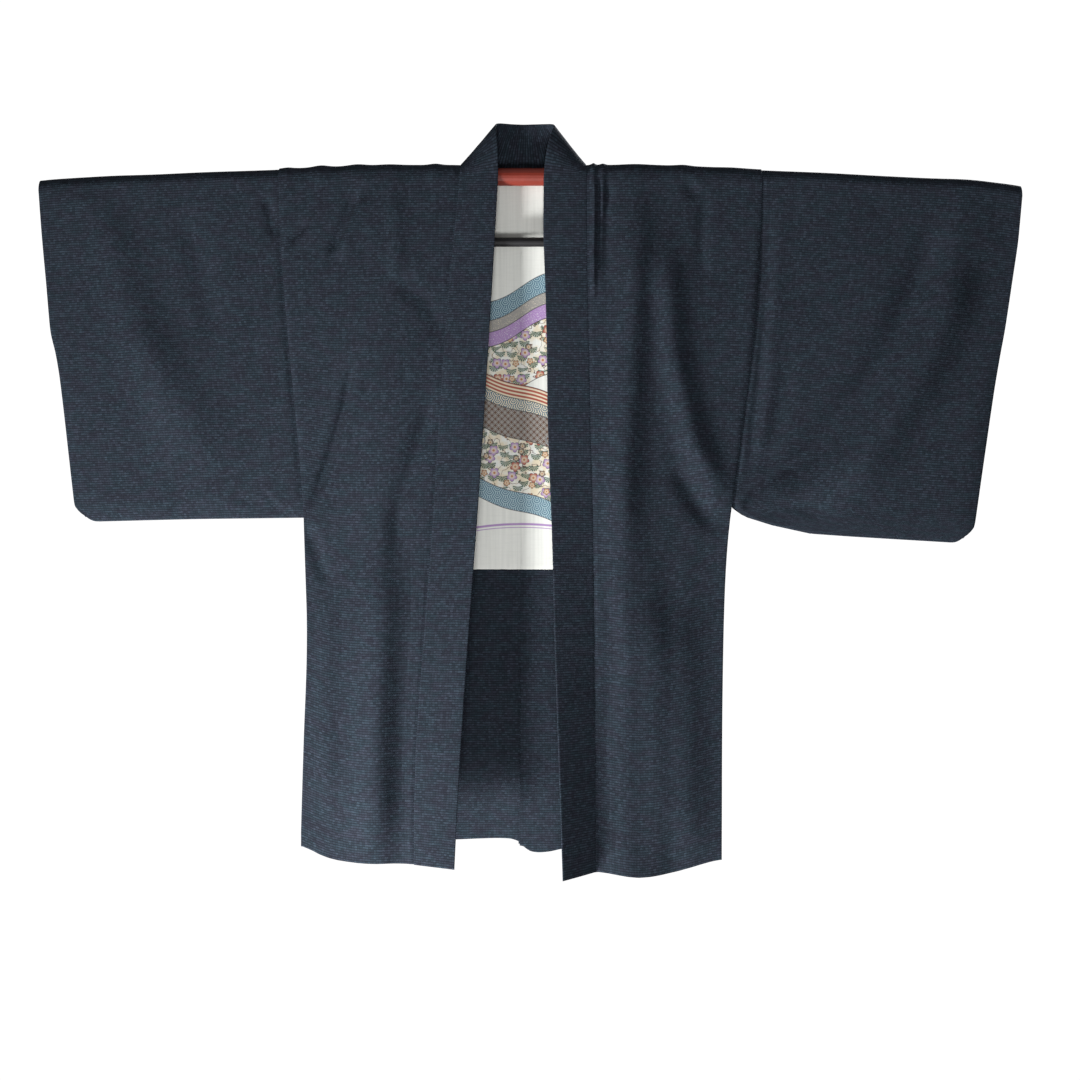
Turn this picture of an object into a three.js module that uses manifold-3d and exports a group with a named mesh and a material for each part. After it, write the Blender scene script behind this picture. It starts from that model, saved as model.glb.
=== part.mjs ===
// A man's haori jacket hanging open on a rod, in millimetres.
//
// +X is to the viewer's right, +Z is up and the front of the jacket faces -Y. The origin is the
// middle of the rod. "out" is a distance sideways from the middle, and "drop" is a distance
// below the rod's axis. "left" and "right" are the viewer's.

import * as THREE from 'three';
import { mergeVertices } from 'three/addons/utils/BufferGeometryUtils.js';
import Module from 'manifold-3d';

const wasm = await Module();
wasm.setup();

// ---- Driving dimensions ----

const CLOTH = 1.3;
const LINING = 1.0;
const BAND = 2.4;
const SEAM_GAP = 0.3;
const ARMHOLE_GAP = 0.8;

const ROD_RADIUS = 12.3;
const ROD_REACH = 617;
const ROD_STRAIGHT = 200;
const ROD_SIDES = 20;
const BAR_RADIUS = 6.5;
const BAR_REACH = 180;
const BAR_DROP = 90;
const LINK_RADIUS = 3;
const LINK_OUT = 150;
const LINK_SIDES = 12;

const FOLD_RADIUS = 15.3; // the cloth's outer face where it lies over the rod
const SLACK_PAST_ROD = 0.0009; // how fast the cloth sags past the rod's end
const FRONT_LENGTH = 945;
const LINING_END = 542.5;
const SIDE_BLEND = 150; // the fronts and back swell over this distance from the side
const CUFF_OPENING = 216;
const CUFF_CLOSING = 24;
const CUFF_CORNER = 21;
const SLEEVE_CLOSING = 16; // the sleeve's layers meet over this distance at its closed edges
const SLEEVE_FILLING = 0.3; // the share of a sleeve's width in which it takes its own fullness
const CLOSED_HALF = 1.7; // half a sleeve's thickness where its layers meet
const THINNEST_HALF = 0.2; // and half that of the space inside it
const CUFF_LIP = 2; // the cuff's opening runs this far on before the layers close
const GUSSET_TOP = 458;
const GUSSET_TUCK = 7;
const GUSSET_CLEAR = 0.2; // added to the seam's gap at a gusset's long edges

const BODY_COLUMNS = 12;
const BAND_COLUMNS = 3;
const FRONT_ROWS = 12;
const LINING_ROWS = 6;
const FACING_ROWS = 5;
const GUSSET_ROWS = 6;
const GUSSET_COLUMNS = 4;
const SLEEVE_STATIONS = 6;
const SLEEVE_ARC = [90, 60, 30, 0]; // angles from the top of the fold to the front
const ABOVE_OPENING = [0.33, 0.66, 1]; // shares of the drop from the fold to the cuff's lower end
const BELOW_OPENING = [0, 0.35, 0.7, 0.93, 0.98, 1]; // and from there to the sleeve's bottom
const CORNER_STEPS = [21, 13, 7, 2.5, 0]; // distances from the cuff
const CUFF_HEM = 8;
const PAST_END = 5; // how far a sleeve's hollow is cut on past its ends
const BAND_PROUD = 0.5;
const LOOP = {
  drop: 365,
  radius: 6,
  cord: 1.1,
  sides: 5,
  segments: 12,
  narrow: 0.6,
  inset: 0.5,
  clear: 1.4,
};

const NAVY = { color: 0x2e3742, roughness: 0.9, metalness: 0 };
const SILK = { color: 0xd2d0c8, roughness: 0.6, metalness: 0 };
const RED = { color: 0x843b2f, roughness: 0.25, metalness: 0 };
const BLACK = { color: 0x242427, roughness: 0.25, metalness: 0 };

// ---- The two halves: the same cut, hanging a little differently ----

const LEFT = { name: 'left', sign: -1, droop: 2.3 };
const RIGHT = { name: 'right', sign: 1, droop: 2.7 };

// The body's side edge: the sleeve seam down to the underarm, then the gusset seam.
const SIDE_EDGE = [
  { drop: -8, left: 334, right: 332 },
  { drop: 60, left: 332, right: 331 },
  { drop: 140, left: 328, right: 328 },
  { drop: 225, left: 321, right: 321 },
  { drop: 300, left: 314, right: 311 },
  { drop: 400, left: 305, right: 299 },
  { drop: 478, left: 299, right: 287 },
  { drop: 560, left: 297, right: 281 },
  { drop: 660, left: 293, right: 278 },
  { drop: 780, left: 297, right: 276 },
  { drop: 945, left: 301, right: 275 },
];

// The collar band on the fronts: its seam, its free edge, and how far that edge leans forward.
const BAND_LINE = [
  { drop: 0, leftSeam: 84, leftFree: 31, leftLean: 0, rightSeam: 91, rightFree: 31, rightLean: 0 },
  { drop: 60, leftSeam: 90, leftFree: 34, leftLean: 0, rightSeam: 91, rightFree: 30, rightLean: 0 },
  { drop: 200, leftSeam: 103, leftFree: 42, leftLean: 0, rightSeam: 93, rightFree: 35, rightLean: 2 },
  { drop: 345, leftSeam: 113, leftFree: 51, leftLean: 1, rightSeam: 96, rightFree: 37, rightLean: 6 },
  { drop: 480, leftSeam: 121, leftFree: 60, leftLean: 2, rightSeam: 99, rightFree: 43, rightLean: 17 },
  { drop: 640, leftSeam: 133, leftFree: 72, leftLean: 3, rightSeam: 101, rightFree: 48, rightLean: 26 },
  { drop: 800, leftSeam: 144, leftFree: 83, leftLean: 8, rightSeam: 102, rightFree: 54, rightLean: 34 },
  { drop: 960, leftSeam: 146, leftFree: 92, leftLean: 24, rightSeam: 103, rightFree: 60, rightLean: 41 },
];

// The hem of the fronts, from the band to the side.
const FRONT_HEM = [
  { out: 60, left: 948, right: 960 },
  { out: 98, left: 947, right: 953 },
  { out: 130, left: 944.5, right: 957 },
  { out: 165, left: 943, right: 961 },
  { out: 214, left: 942.5, right: 954 },
  { out: 247, left: 939, right: 945 },
  { out: 267, left: 934, right: 940 },
  { out: 300, left: 920, right: 936 },
];

// The back's hem, from the left side to the right, by place along X.
const BACK_HEM = [
  { x: -300, drop: 921 },
  { x: -150, drop: 924 },
  { x: -20, drop: 920 },
  { x: -4, drop: 923 },
  { x: 12, drop: 936 },
  { x: 40, drop: 936 },
  { x: 70, drop: 930 },
  { x: 276, drop: 937 },
];

// How far the outer faces stand from the rod's axis plane.
const DEPTH = [
  { drop: 0, side: 15.3, front: 15.3, back: 15.3 },
  { drop: 100, side: 15, front: 20, back: 18 },
  { drop: 250, side: 14, front: 25, back: 24 },
  { drop: 478, side: 12, front: 32, back: 32 },
  { drop: 560, side: 15, front: 34, back: 35 },
  { drop: 700, side: 22, front: 39, back: 41 },
  { drop: 850, side: 29, front: 44, back: 46 },
  { drop: 960, side: 33, front: 48, back: 49 },
];

// The sleeve's outer edge, and its bottom edge as shares of the sleeve's width.
const CUFF_EDGE = [
  { drop: 0, left: 665, right: 692 },
  { drop: 87, left: 659, right: 685 },
  { drop: 142, left: 654, right: 677 },
  { drop: 216, left: 648, right: 666 },
  { drop: 245, left: 641, right: 661 },
  { drop: 290, left: 632, right: 653 },
  { drop: 391, left: 622, right: 637 },
  { drop: 450, left: 616, right: 630 },
  { drop: 510, left: 611, right: 622 },
];
const SLEEVE_BOTTOM = [
  { share: 0, left: 471, right: 485 },
  { share: 0.25, left: 472, right: 491 },
  { share: 0.5, left: 473, right: 497 },
  { share: 0.75, left: 475, right: 502 },
  { share: 1, left: 477, right: 507 },
];
const SLEEVE_HALF = [
  { drop: 0, half: 15.3 },
  { drop: 120, half: 13.5 },
  { drop: 300, half: 12.2 },
  { drop: 510, half: 11 },
];

// The largest folds of the fronts: soft troughs (height below 0) and ridges (above 0).
const FRONT_FOLDS = [
  { side: LEFT, outA: 165, dropA: 520, outB: 166, dropB: 950, width: 17, height: -8 },
  { side: LEFT, outA: 225, dropA: 250, outB: 285, dropB: 470, width: 18, height: -4 },
  { side: LEFT, outA: 215, dropA: 30, outB: 265, dropB: 110, width: 16, height: -3 },
  { side: RIGHT, outA: 187, dropA: 30, outB: 188, dropB: 260, width: 16, height: -5 },
  { side: RIGHT, outA: 190, dropA: 240, outB: 255, dropB: 440, width: 20, height: -4 },
  { side: RIGHT, outA: 141, dropA: 520, outB: 143, dropB: 950, width: 18, height: 6 },
  { side: RIGHT, outA: 202, dropA: 520, outB: 206, dropB: 950, width: 18, height: -7 },
];
const FOLD_FADE = 70; // a fold dies away over this distance at its ends
const RUNS_OUT = 900; // a fold that ends below this drop runs out through the hem

// The back's one large fold comes forward beside the centre seam, towards the hem.
const BACK_FOLD = { x: 22, width: 17, height: 24, startDrop: 540, fullDrop: 900 };

// The collar from the rod's front up over the shoulder to the middle of the back neck, as pairs
// of points on its seam and on its free edge.
const NECK = {
  left: [
    { seamOut: 83.7, seamY: -14, seamZ: 8.2, freeOut: 31, freeY: -15.8, freeZ: 22 },
    { seamOut: 83.7, seamY: -7.8, seamZ: 14.2, freeOut: 32, freeY: -14.5, freeZ: 44 },
    { seamOut: 83.7, seamY: -2, seamZ: 16.4, freeOut: 34, freeY: -10, freeZ: 62 },
    { seamOut: 82.7, seamY: 1, seamZ: 18.2, freeOut: 36, freeY: -3, freeZ: 72 },
    { seamOut: 77, seamY: 5, seamZ: 18.8, freeOut: 35, freeY: 6, freeZ: 76 },
    { seamOut: 60, seamY: 10, seamZ: 17.4, freeOut: 28, freeY: 13, freeZ: 77 },
    { seamOut: 32, seamY: 13.4, seamZ: 15.4, freeOut: 12, freeY: 15.8, freeZ: 76 },
  ],
  right: [
    { seamOut: 90.5, seamY: -14, seamZ: 8.2, freeOut: 33, freeY: -15.8, freeZ: 22 },
    { seamOut: 90.5, seamY: -7.8, seamZ: 14.2, freeOut: 37, freeY: -14.5, freeZ: 44 },
    { seamOut: 90.5, seamY: -2, seamZ: 16.4, freeOut: 42, freeY: -10, freeZ: 62 },
    { seamOut: 89.7, seamY: 1, seamZ: 18.2, freeOut: 47, freeY: -3, freeZ: 71 },
    { seamOut: 85, seamY: 5, seamZ: 18.8, freeOut: 47, freeY: 6, freeZ: 75 },
    { seamOut: 70, seamY: 10, seamZ: 17.4, freeOut: 38, freeY: 13, freeZ: 76 },
    { seamOut: 40, seamY: 13.4, seamZ: 15.4, freeOut: 22, freeY: 15.8, freeZ: 76 },
  ],
};
const NECK_MIDDLE = { seamX: 0, seamY: 14, seamZ: 14.6, freeX: 4, freeY: 16.2, freeZ: 75.5 };

// The neck edge of a body panel, by angle round the rod from the front (0) to the back (180).
const NECK_EDGE = [
  { angle: 0, left: 84, right: 91 },
  { angle: 30, left: 84, right: 91 },
  { angle: 60, left: 84, right: 91 },
  { angle: 85, left: 84, right: 91 },
  { angle: 100, left: 78, right: 86 },
  { angle: 113, left: 60, right: 70 },
  { angle: 124, left: 32, right: 40 },
  { angle: 134, left: 0, right: 0 },
  { angle: 157, left: 0, right: 0 },
  { angle: 180, left: 0, right: 0 },
];

// ---- Reading tables and placing points ----

/** The value of a table's column at a place, on a smooth curve through its rows. */
function read(table, key, column, at) {
  const last = table.length - 1;
  let i = 0;
  while (i < last - 1 && at > table[i + 1][key]) i += 1;
  const slope = (a, b) => (table[b][column] - table[a][column]) / (table[b][key] - table[a][key]);
  const span = table[i + 1][key] - table[i][key];
  const t = THREE.MathUtils.clamp((at - table[i][key]) / span, 0, 1);
  const tangentA = span * slope(Math.max(i - 1, 0), i + 1);
  const tangentB = span * slope(i, Math.min(i + 2, last));
  const blend = t * t * (3 - 2 * t);
  return table[i][column] * (1 - blend) + table[i + 1][column] * blend
    + tangentA * t * (1 - t) * (1 - t) - tangentB * t * t * (1 - t);
}

const { lerp, smoothstep, degToRad } = THREE.MathUtils;

/** Shares from 0 to 1 in equal steps. */
function steps(count) {
  return Array.from({ length: count + 1 }, (_, i) => i / count);
}

/** How far the rod's axis has dropped at a distance out. */
function rodDrop(side, out) {
  return Math.max(0, out - ROD_STRAIGHT) * Math.tan(degToRad(side.droop));
}

/** The drop of the axis that the cloth's top fold follows, which sags past the rod's end. */
function foldDrop(side, out) {
  return rodDrop(side, out) + SLACK_PAST_ROD * Math.max(0, out - ROD_REACH) ** 2;
}

/** How far a fold moves the cloth at a point. */
function foldHeight(fold, out, drop) {
  const length = fold.dropB - fold.dropA;
  const along = THREE.MathUtils.clamp((drop - fold.dropA) / length, 0, 1);
  const across = (out - lerp(fold.outA, fold.outB, along)) / fold.width;
  const open = fold.dropB > RUNS_OUT ? 1 : smoothstep(fold.dropB - drop, 0, FOLD_FADE);
  return fold.height * Math.exp(-across * across) * smoothstep(drop - fold.dropA, 0, FOLD_FADE) * open;
}

function depthAt(side, column, out, drop) {
  const inward = read(SIDE_EDGE, 'drop', side.name, drop) - out;
  return lerp(
    read(DEPTH, 'drop', 'side', drop),
    read(DEPTH, 'drop', column, drop),
    smoothstep(inward, 0, SIDE_BLEND),
  );
}

/** How far the front's outer face stands forward of the rod's axis. */
function frontDepth(side, out, drop) {
  const folds = FRONT_FOLDS.filter((fold) => fold.side === side);
  const depth = depthAt(side, 'front', out, drop);
  return folds.reduce((sum, fold) => sum + foldHeight(fold, out, drop), depth);
}

/** How far the back's outer face stands behind the rod's axis. */
function backDepth(side, out, drop) {
  const { x, width, height, startDrop, fullDrop } = BACK_FOLD;
  const across = (side.sign * out - x) / width;
  const fold = height * Math.exp(-across * across) * smoothstep(drop, startDrop, fullDrop);
  return depthAt(side, 'back', out, drop) - fold;
}

// ---- Solids ----

/** A closed geometry from points and triangles, its faces turned outwards. */
function closed(points, triangles) {
  const volume = triangles.reduce((sum, [a, b, c]) => (
    sum + points[a].dot(new THREE.Vector3().crossVectors(points[b], points[c]))
  ), 0);
  const outward = volume > 0 ? triangles : triangles.map(([a, b, c]) => [a, c, b]);
  const geometry = new THREE.BufferGeometry();
  const numbers = points.flatMap((p) => p.toArray());
  geometry.setAttribute('position', new THREE.Float32BufferAttribute(numbers, 3));
  geometry.setIndex(outward.flat());
  return geometry;
}

/** The unit normal of a grid of points at one of them. */
function normalAt(rows, i, j) {
  const next = rows[Math.min(i + 1, rows.length - 1)][j];
  const before = rows[Math.max(i - 1, 0)][j];
  const right = rows[i][Math.min(j + 1, rows[i].length - 1)];
  const left = rows[i][Math.max(j - 1, 0)];
  return new THREE.Vector3()
    .crossVectors(next.clone().sub(before), right.clone().sub(left))
    .normalize();
}

/** Moves each point of a grid along the grid's normal. */
function moved(rows, distance) {
  return rows.map((row, i) => row.map((p, j) => (
    p.clone().addScaledVector(normalAt(rows, i, j), distance)
  )));
}

/** Moves each point of a grid straight back, far enough for that distance along the normal. */
function movedBack(rows, distance) {
  return rows.map((row, i) => row.map((p, j) => {
    const lean = Math.abs(normalAt(rows, i, j).y);
    return p.clone().add(new THREE.Vector3(0, distance / lean, 0));
  }));
}

/** The wall between two faces given as grids of the same size. */
function wall(outer, inner) {
  const height = outer.length;
  const width = outer[0].length;
  const points = [...outer.flat(), ...inner.flat()];
  const under = height * width;
  const at = (i, j) => i * width + j;
  const triangles = [];
  const quad = (a, b, c, d) => triangles.push([a, b, c], [a, c, d]);
  for (let i = 0; i < height - 1; i += 1) {
    for (let j = 0; j < width - 1; j += 1) {
      const corners = [at(i, j), at(i, j + 1), at(i + 1, j + 1), at(i + 1, j)];
      quad(...corners);
      quad(...corners.map((k) => k + under).reverse());
    }
  }
  const rim = [
    ...steps(width - 1).map((_, j) => at(0, j)),
    ...steps(height - 1).map((_, i) => at(i, width - 1)).slice(1),
    ...steps(width - 1).map((_, j) => at(height - 1, width - 1 - j)).slice(1),
    ...steps(height - 1).map((_, i) => at(height - 1 - i, 0)).slice(1, -1),
  ];
  rim.forEach((a, k) => {
    const b = rim[(k + 1) % rim.length];
    quad(b, a, a + under, b + under);
  });
  return closed(points, triangles);
}

/** A solid through closed rings of points, with flat ends. */
function loft(rings) {
  const size = rings[0].length;
  const points = rings.flat();
  const triangles = [];
  for (let i = 0; i < rings.length - 1; i += 1) {
    for (let k = 0; k < size; k += 1) {
      const a = i * size + k;
      const b = i * size + ((k + 1) % size);
      triangles.push([a, b, b + size], [a, b + size, a + size]);
    }
  }
  for (const [ring, flip] of [[0, true], [rings.length - 1, false]]) {
    const middle = points.length;
    const centre = rings[ring].reduce((sum, p) => sum.add(p), new THREE.Vector3());
    points.push(centre.divideScalar(size));
    for (let k = 0; k < size; k += 1) {
      const a = ring * size + k;
      const b = ring * size + ((k + 1) % size);
      triangles.push(flip ? [middle, b, a] : [middle, a, b]);
    }
  }
  return closed(points, triangles);
}

function toManifold(geometry) {
  const merged = mergeVertices(geometry, 1e-5);
  return new wasm.Manifold(new wasm.Mesh({
    numProp: 3,
    vertProperties: new Float32Array(merged.attributes.position.array),
    triVerts: new Uint32Array(merged.index.array),
  }));
}

function fromManifold(solid) {
  const { vertProperties, triVerts } = solid.getMesh();
  const geometry = new THREE.BufferGeometry();
  geometry.setAttribute('position', new THREE.BufferAttribute(new Float32Array(vertProperties), 3));
  geometry.setIndex(new THREE.BufferAttribute(new Uint32Array(triVerts), 1));
  return geometry;
}

function mesh(name, geometry, finish) {
  const made = new THREE.Mesh(geometry, new THREE.MeshStandardMaterial(finish));
  made.name = name;
  return made;
}

// ---- The body: one length of cloth each side, from the front hem over the rod to the back hem ----

/** Where the collar's seam and the front's rows lie, at a share of the front's length. */
function seamPlace(side, share) {
  const level = share * FRONT_LENGTH;
  const out = read(BAND_LINE, 'drop', `${side.name}Seam`, level);
  return { level, out, drop: share * read(FRONT_HEM, 'out', side.name, out) };
}

/** The back's rows from the rod down to the lining's lower edge. */
function upperBack(side) {
  return steps(LINING_ROWS).map((share) => ({
    level: share * LINING_END,
    dropAt: (out) => lerp(foldDrop(side, out), LINING_END, share),
  }));
}

/** The back's rows from the lining's lower edge to the hem, or a gap short of both. */
function lowerBack(side, gap) {
  return steps(FACING_ROWS).map((share) => ({
    level: lerp(LINING_END, FRONT_LENGTH, share),
    dropAt: (out) => lerp(LINING_END + gap, read(BACK_HEM, 'x', 'drop', side.sign * out) - gap, share),
  }));
}

/** Sets the back's columns closer together towards the centre seam, where its fold is. */
function gathered(u) {
  return u * (0.45 + 0.55 * u);
}

function bodyRows(side) {
  const columns = steps(BODY_COLUMNS);
  const point = (out, y, drop) => new THREE.Vector3(side.sign * out, y, -drop);
  const between = (inner, drop, share) => (
    lerp(inner + SEAM_GAP / 2, read(SIDE_EDGE, 'drop', side.name, drop) - SEAM_GAP / 2, share)
  );
  const front = steps(FRONT_ROWS).slice(1).reverse().map((share) => columns.map((u) => {
    const seam = seamPlace(side, share);
    const out = between(seam.out, seam.level, u);
    const drop = lerp(foldDrop(side, out), read(FRONT_HEM, 'out', side.name, out), share);
    return point(out, -frontDepth(side, out, drop), drop);
  }));
  const overRod = NECK_EDGE.map((edge) => columns.map((u) => {
    const out = between(edge[side.name], 0, u);
    const turn = degToRad(edge.angle);
    const drop = foldDrop(side, out) - FOLD_RADIUS * Math.sin(turn);
    return point(out, -FOLD_RADIUS * Math.cos(turn), drop);
  }));
  const back = [...upperBack(side), ...lowerBack(side, 0).slice(1)];
  const backRows = back.slice(1).map((row) => columns.map((u) => {
    const out = between(0, row.level, gathered(u));
    const drop = row.dropAt(out);
    return point(out, backDepth(side, out, drop), drop);
  }));
  return [...front, ...overRod, ...backRows];
}

function bodyPanel(side) {
  const outer = bodyRows(side);
  return mesh(`body_${side.name}`, wall(outer, moved(outer, -side.sign * CLOTH)), NAVY);
}

// ---- Inside the back: the pale upper lining, and the cloth turned up from the hem ----

/** A layer lying on the inside of the back: its outer side follows the body panel's inside. */
function backLayer(side, name, rows, thickness, finish) {
  const inset = CLOTH + SEAM_GAP;
  const face = rows.map((row) => steps(BODY_COLUMNS).map((u) => {
    const edge = read(SIDE_EDGE, 'drop', side.name, row.level) - 2 * inset;
    const out = lerp(SEAM_GAP / 2, edge, gathered(u));
    const drop = row.dropAt(out);
    return new THREE.Vector3(side.sign * out, backDepth(side, out, drop), -drop);
  }));
  const outer = movedBack(face, -inset);
  const inner = movedBack(face, -(inset + thickness));
  return mesh(`${name}_${side.name}`, wall(outer, inner), finish);
}

/** The lining hangs from behind the rod to the cloth that is turned up from the hem. */
function lining(side) {
  return backLayer(side, 'lining', upperBack(side), LINING, SILK);
}

function facing(side) {
  return backLayer(side, 'facing', lowerBack(side, SEAM_GAP), CLOTH, NAVY);
}

// ---- The gussets between the fronts and the back, from the underarms to the hem ----

function gusset(side) {
  const inset = CLOTH + SEAM_GAP;
  const hem = FRONT_HEM[FRONT_HEM.length - 1][side.name] - SEAM_GAP;
  const rows = steps(GUSSET_ROWS).map((share) => {
    const drop = lerp(GUSSET_TOP, hem, share);
    const half = read(DEPTH, 'drop', 'side', drop) - inset - GUSSET_CLEAR;
    const edge = read(SIDE_EDGE, 'drop', side.name, drop) - SEAM_GAP;
    return steps(GUSSET_COLUMNS).map((v) => {
      const tuck = GUSSET_TUCK * share * Math.sin(Math.PI * v);
      return new THREE.Vector3(side.sign * (edge - tuck), lerp(-half, half, v), -drop);
    });
  });
  return mesh(`gusset_${side.name}`, wall(rows, moved(rows, -side.sign * CLOTH)), NAVY);
}

// ---- The sleeves: flat tubes over the rod, closed below, open at the armhole and the cuff ----

/** A sleeve's cross-section: a closed ring of points, inset from its outer face. */
function sleeveRing(side, u, inset, lowest = Infinity) {
  const armhole = (drop) => read(SIDE_EDGE, 'drop', side.name, drop) + ARMHOLE_GAP;
  const cuff = (drop) => read(CUFF_EDGE, 'drop', side.name, drop);
  const outAt = (drop) => lerp(armhole(drop), cuff(drop), u);
  const share = THREE.MathUtils.clamp(u, 0, 1);
  const top = foldDrop(side, outAt(0));
  const fromCuff = (1 - share) * (cuff(0) - armhole(0));
  const corner = Math.max(0, CUFF_CORNER - fromCuff);
  const rise = CUFF_CORNER - Math.sqrt(CUFF_CORNER ** 2 - corner ** 2);
  const bottom = Math.min(read(SLEEVE_BOTTOM, 'share', side.name, share) - rise - inset, lowest);

  const closingTop = CUFF_OPENING + CUFF_LIP;
  const half = (drop) => {
    const open = lerp(
      read(DEPTH, 'drop', 'side', drop),
      read(SLEEVE_HALF, 'drop', 'half', drop),
      smoothstep(share, 0, SLEEVE_FILLING),
    );
    const below = smoothstep(drop, closingTop, closingTop + CUFF_CLOSING);
    const edge = lerp(SLEEVE_CLOSING, Math.min(fromCuff, SLEEVE_CLOSING), below);
    const near = Math.min(edge, bottom + inset - drop, SLEEVE_CLOSING) / SLEEVE_CLOSING;
    const closing = lowest < Infinity ? 1 : Math.sqrt(Math.max(0, 1 - (1 - near) ** 2));
    return lerp(CLOSED_HALF, open, closing) - inset;
  };

  const radius = FOLD_RADIUS - inset;
  const overTop = SLEEVE_ARC.map((angle) => {
    const turn = degToRad(angle);
    return { y: -radius * Math.cos(turn), drop: top - radius * Math.sin(turn) };
  });
  const opening = Math.min(closingTop, bottom);
  const closingEnd = opening + (bottom > opening ? CUFF_CLOSING : 0);
  const drops = [
    ...ABOVE_OPENING.map((part) => lerp(top, opening, part)),
    ...BELOW_OPENING.map((part) => lerp(closingEnd, bottom, part)),
  ];
  const down = drops.map((drop) => ({ y: -Math.max(half(drop), THINNEST_HALF), drop }));
  const front = [...overTop, ...down];
  const back = front.slice(1).reverse().map(({ y, drop }) => ({ y: -y, drop }));
  return [...front, ...back].map(({ y, drop }) => (
    new THREE.Vector3(side.sign * outAt(drop), y, -drop)
  ));
}

function sleeve(side) {
  const width = read(CUFF_EDGE, 'drop', side.name, 0) - read(SIDE_EDGE, 'drop', side.name, 0);
  const nearCuff = CORNER_STEPS.map((step) => 1 - step / width);
  const stations = [...steps(SLEEVE_STATIONS).slice(0, -1), ...nearCuff];
  const outer = toManifold(loft(stations.map((u) => sleeveRing(side, u, 0))));
  const past = PAST_END / width;
  const hem = 1 - CUFF_HEM / width;
  const hollowStations = [-past, ...stations.filter((u) => u > 0 && u < hem), hem];
  const hollow = toManifold(loft(hollowStations.map((u) => sleeveRing(side, u, CLOTH))));
  const mouthStations = [1 - 2 * CUFF_HEM / width, 1, 1 + past];
  const mouthRings = mouthStations.map((u) => sleeveRing(side, u, CLOTH, CUFF_OPENING));
  const mouth = toManifold(loft(mouthRings));
  return mesh(`sleeve_${side.name}`, fromManifold(outer.subtract(hollow.add(mouth))), NAVY);
}

// ---- The collar: one folded band, up the left front, round the neck and down the right front ----

function collarFront(side) {
  return steps(FRONT_ROWS).reverse().map((share) => {
    const seam = seamPlace(side, share);
    const at = (column) => read(BAND_LINE, 'drop', `${side.name}${column}`, seam.level);
    const free = { out: at('Free'), drop: share * read(FRONT_HEM, 'out', side.name, at('Free')) };
    return steps(BAND_COLUMNS).map((v) => {
      const y = -frontDepth(side, seam.out, seam.drop) - BAND_PROUD - at('Lean') * v;
      const out = lerp(seam.out - SEAM_GAP / 2, free.out, v);
      return new THREE.Vector3(side.sign * out, y, -lerp(seam.drop, free.drop, v));
    });
  });
}

function collarNeck(side) {
  return NECK[side.name].map((row) => steps(BAND_COLUMNS).map((v) => new THREE.Vector3(
    side.sign * lerp(row.seamOut, row.freeOut, v),
    lerp(row.seamY, row.freeY, v),
    lerp(row.seamZ, row.freeZ, v),
  )));
}

function collar() {
  const { seamX, seamY, seamZ, freeX, freeY, freeZ } = NECK_MIDDLE;
  const middle = steps(BAND_COLUMNS).map((v) => (
    new THREE.Vector3(lerp(seamX, freeX, v), lerp(seamY, freeY, v), lerp(seamZ, freeZ, v))
  ));
  const rows = [
    ...collarFront(LEFT), ...collarNeck(LEFT), middle,
    ...collarNeck(RIGHT).reverse(), ...collarFront(RIGHT).reverse(),
  ];
  return mesh('collar', wall(rows, moved(rows, BAND)), NAVY);
}

/** A small cord loop on the band's inside, where the jacket's ties hook on. */
function tieLoop(side) {
  const free = read(BAND_LINE, 'drop', `${side.name}Free`, LOOP.drop);
  const seam = read(BAND_LINE, 'drop', `${side.name}Seam`, LOOP.drop);
  const lean = read(BAND_LINE, 'drop', `${side.name}Lean`, LOOP.drop);
  const behind = frontDepth(side, seam, LOOP.drop) + lean + BAND_PROUD - BAND - SEAM_GAP;
  const ring = new THREE.TorusGeometry(LOOP.radius, LOOP.cord, LOOP.sides, LOOP.segments);
  const merged = new THREE.BufferGeometry();
  merged.setAttribute('position', ring.attributes.position);
  merged.setIndex(ring.index);
  const made = mesh(`tie_loop_${side.name}`, mergeVertices(merged, 1e-4), NAVY);
  made.rotation.x = Math.PI / 2;
  made.scale.set(LOOP.narrow, 1, 1);
  made.position.set(side.sign * (free + LOOP.inset), -behind + LOOP.cord + LOOP.clear, -LOOP.drop);
  return made;
}

// ---- The hanger: a rod with drooping ends, and a lower bar on two links ----

function rod() {
  const places = [
    { x: -ROD_REACH, z: -rodDrop(LEFT, ROD_REACH) },
    { x: -ROD_STRAIGHT, z: 0 },
    { x: ROD_STRAIGHT, z: 0 },
    { x: ROD_REACH, z: -rodDrop(RIGHT, ROD_REACH) },
  ];
  const rings = places.map(({ x, z }) => steps(ROD_SIDES).slice(0, -1).map((share) => {
    const turn = 2 * Math.PI * share;
    return new THREE.Vector3(x, ROD_RADIUS * Math.sin(turn), z + ROD_RADIUS * Math.cos(turn));
  }));
  return mesh('hanger_rod', loft(rings), RED);
}

function bar() {
  const shape = new THREE.CylinderGeometry(BAR_RADIUS, BAR_RADIUS, 2 * BAR_REACH, ROD_SIDES);
  const made = mesh('hanger_bar', shape, BLACK);
  made.rotation.z = Math.PI / 2;
  made.position.z = -BAR_DROP;
  return made;
}

function link(side) {
  const top = ROD_RADIUS + SEAM_GAP;
  const bottom = BAR_DROP - BAR_RADIUS - SEAM_GAP;
  const shape = new THREE.CylinderGeometry(LINK_RADIUS, LINK_RADIUS, bottom - top, LINK_SIDES);
  const made = mesh(`hanger_link_${side.name}`, shape, BLACK);
  made.rotation.x = Math.PI / 2;
  made.position.set(side.sign * LINK_OUT, 0, -(top + bottom) / 2);
  return made;
}

// ---- The whole ----

const haori = new THREE.Group();
haori.add(rod(), bar(), collar());
for (const side of [LEFT, RIGHT]) {
  haori.add(bodyPanel(side), sleeve(side), gusset(side), lining(side), facing(side));
  haori.add(tieLoop(side), link(side));
}

export default haori;
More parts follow.
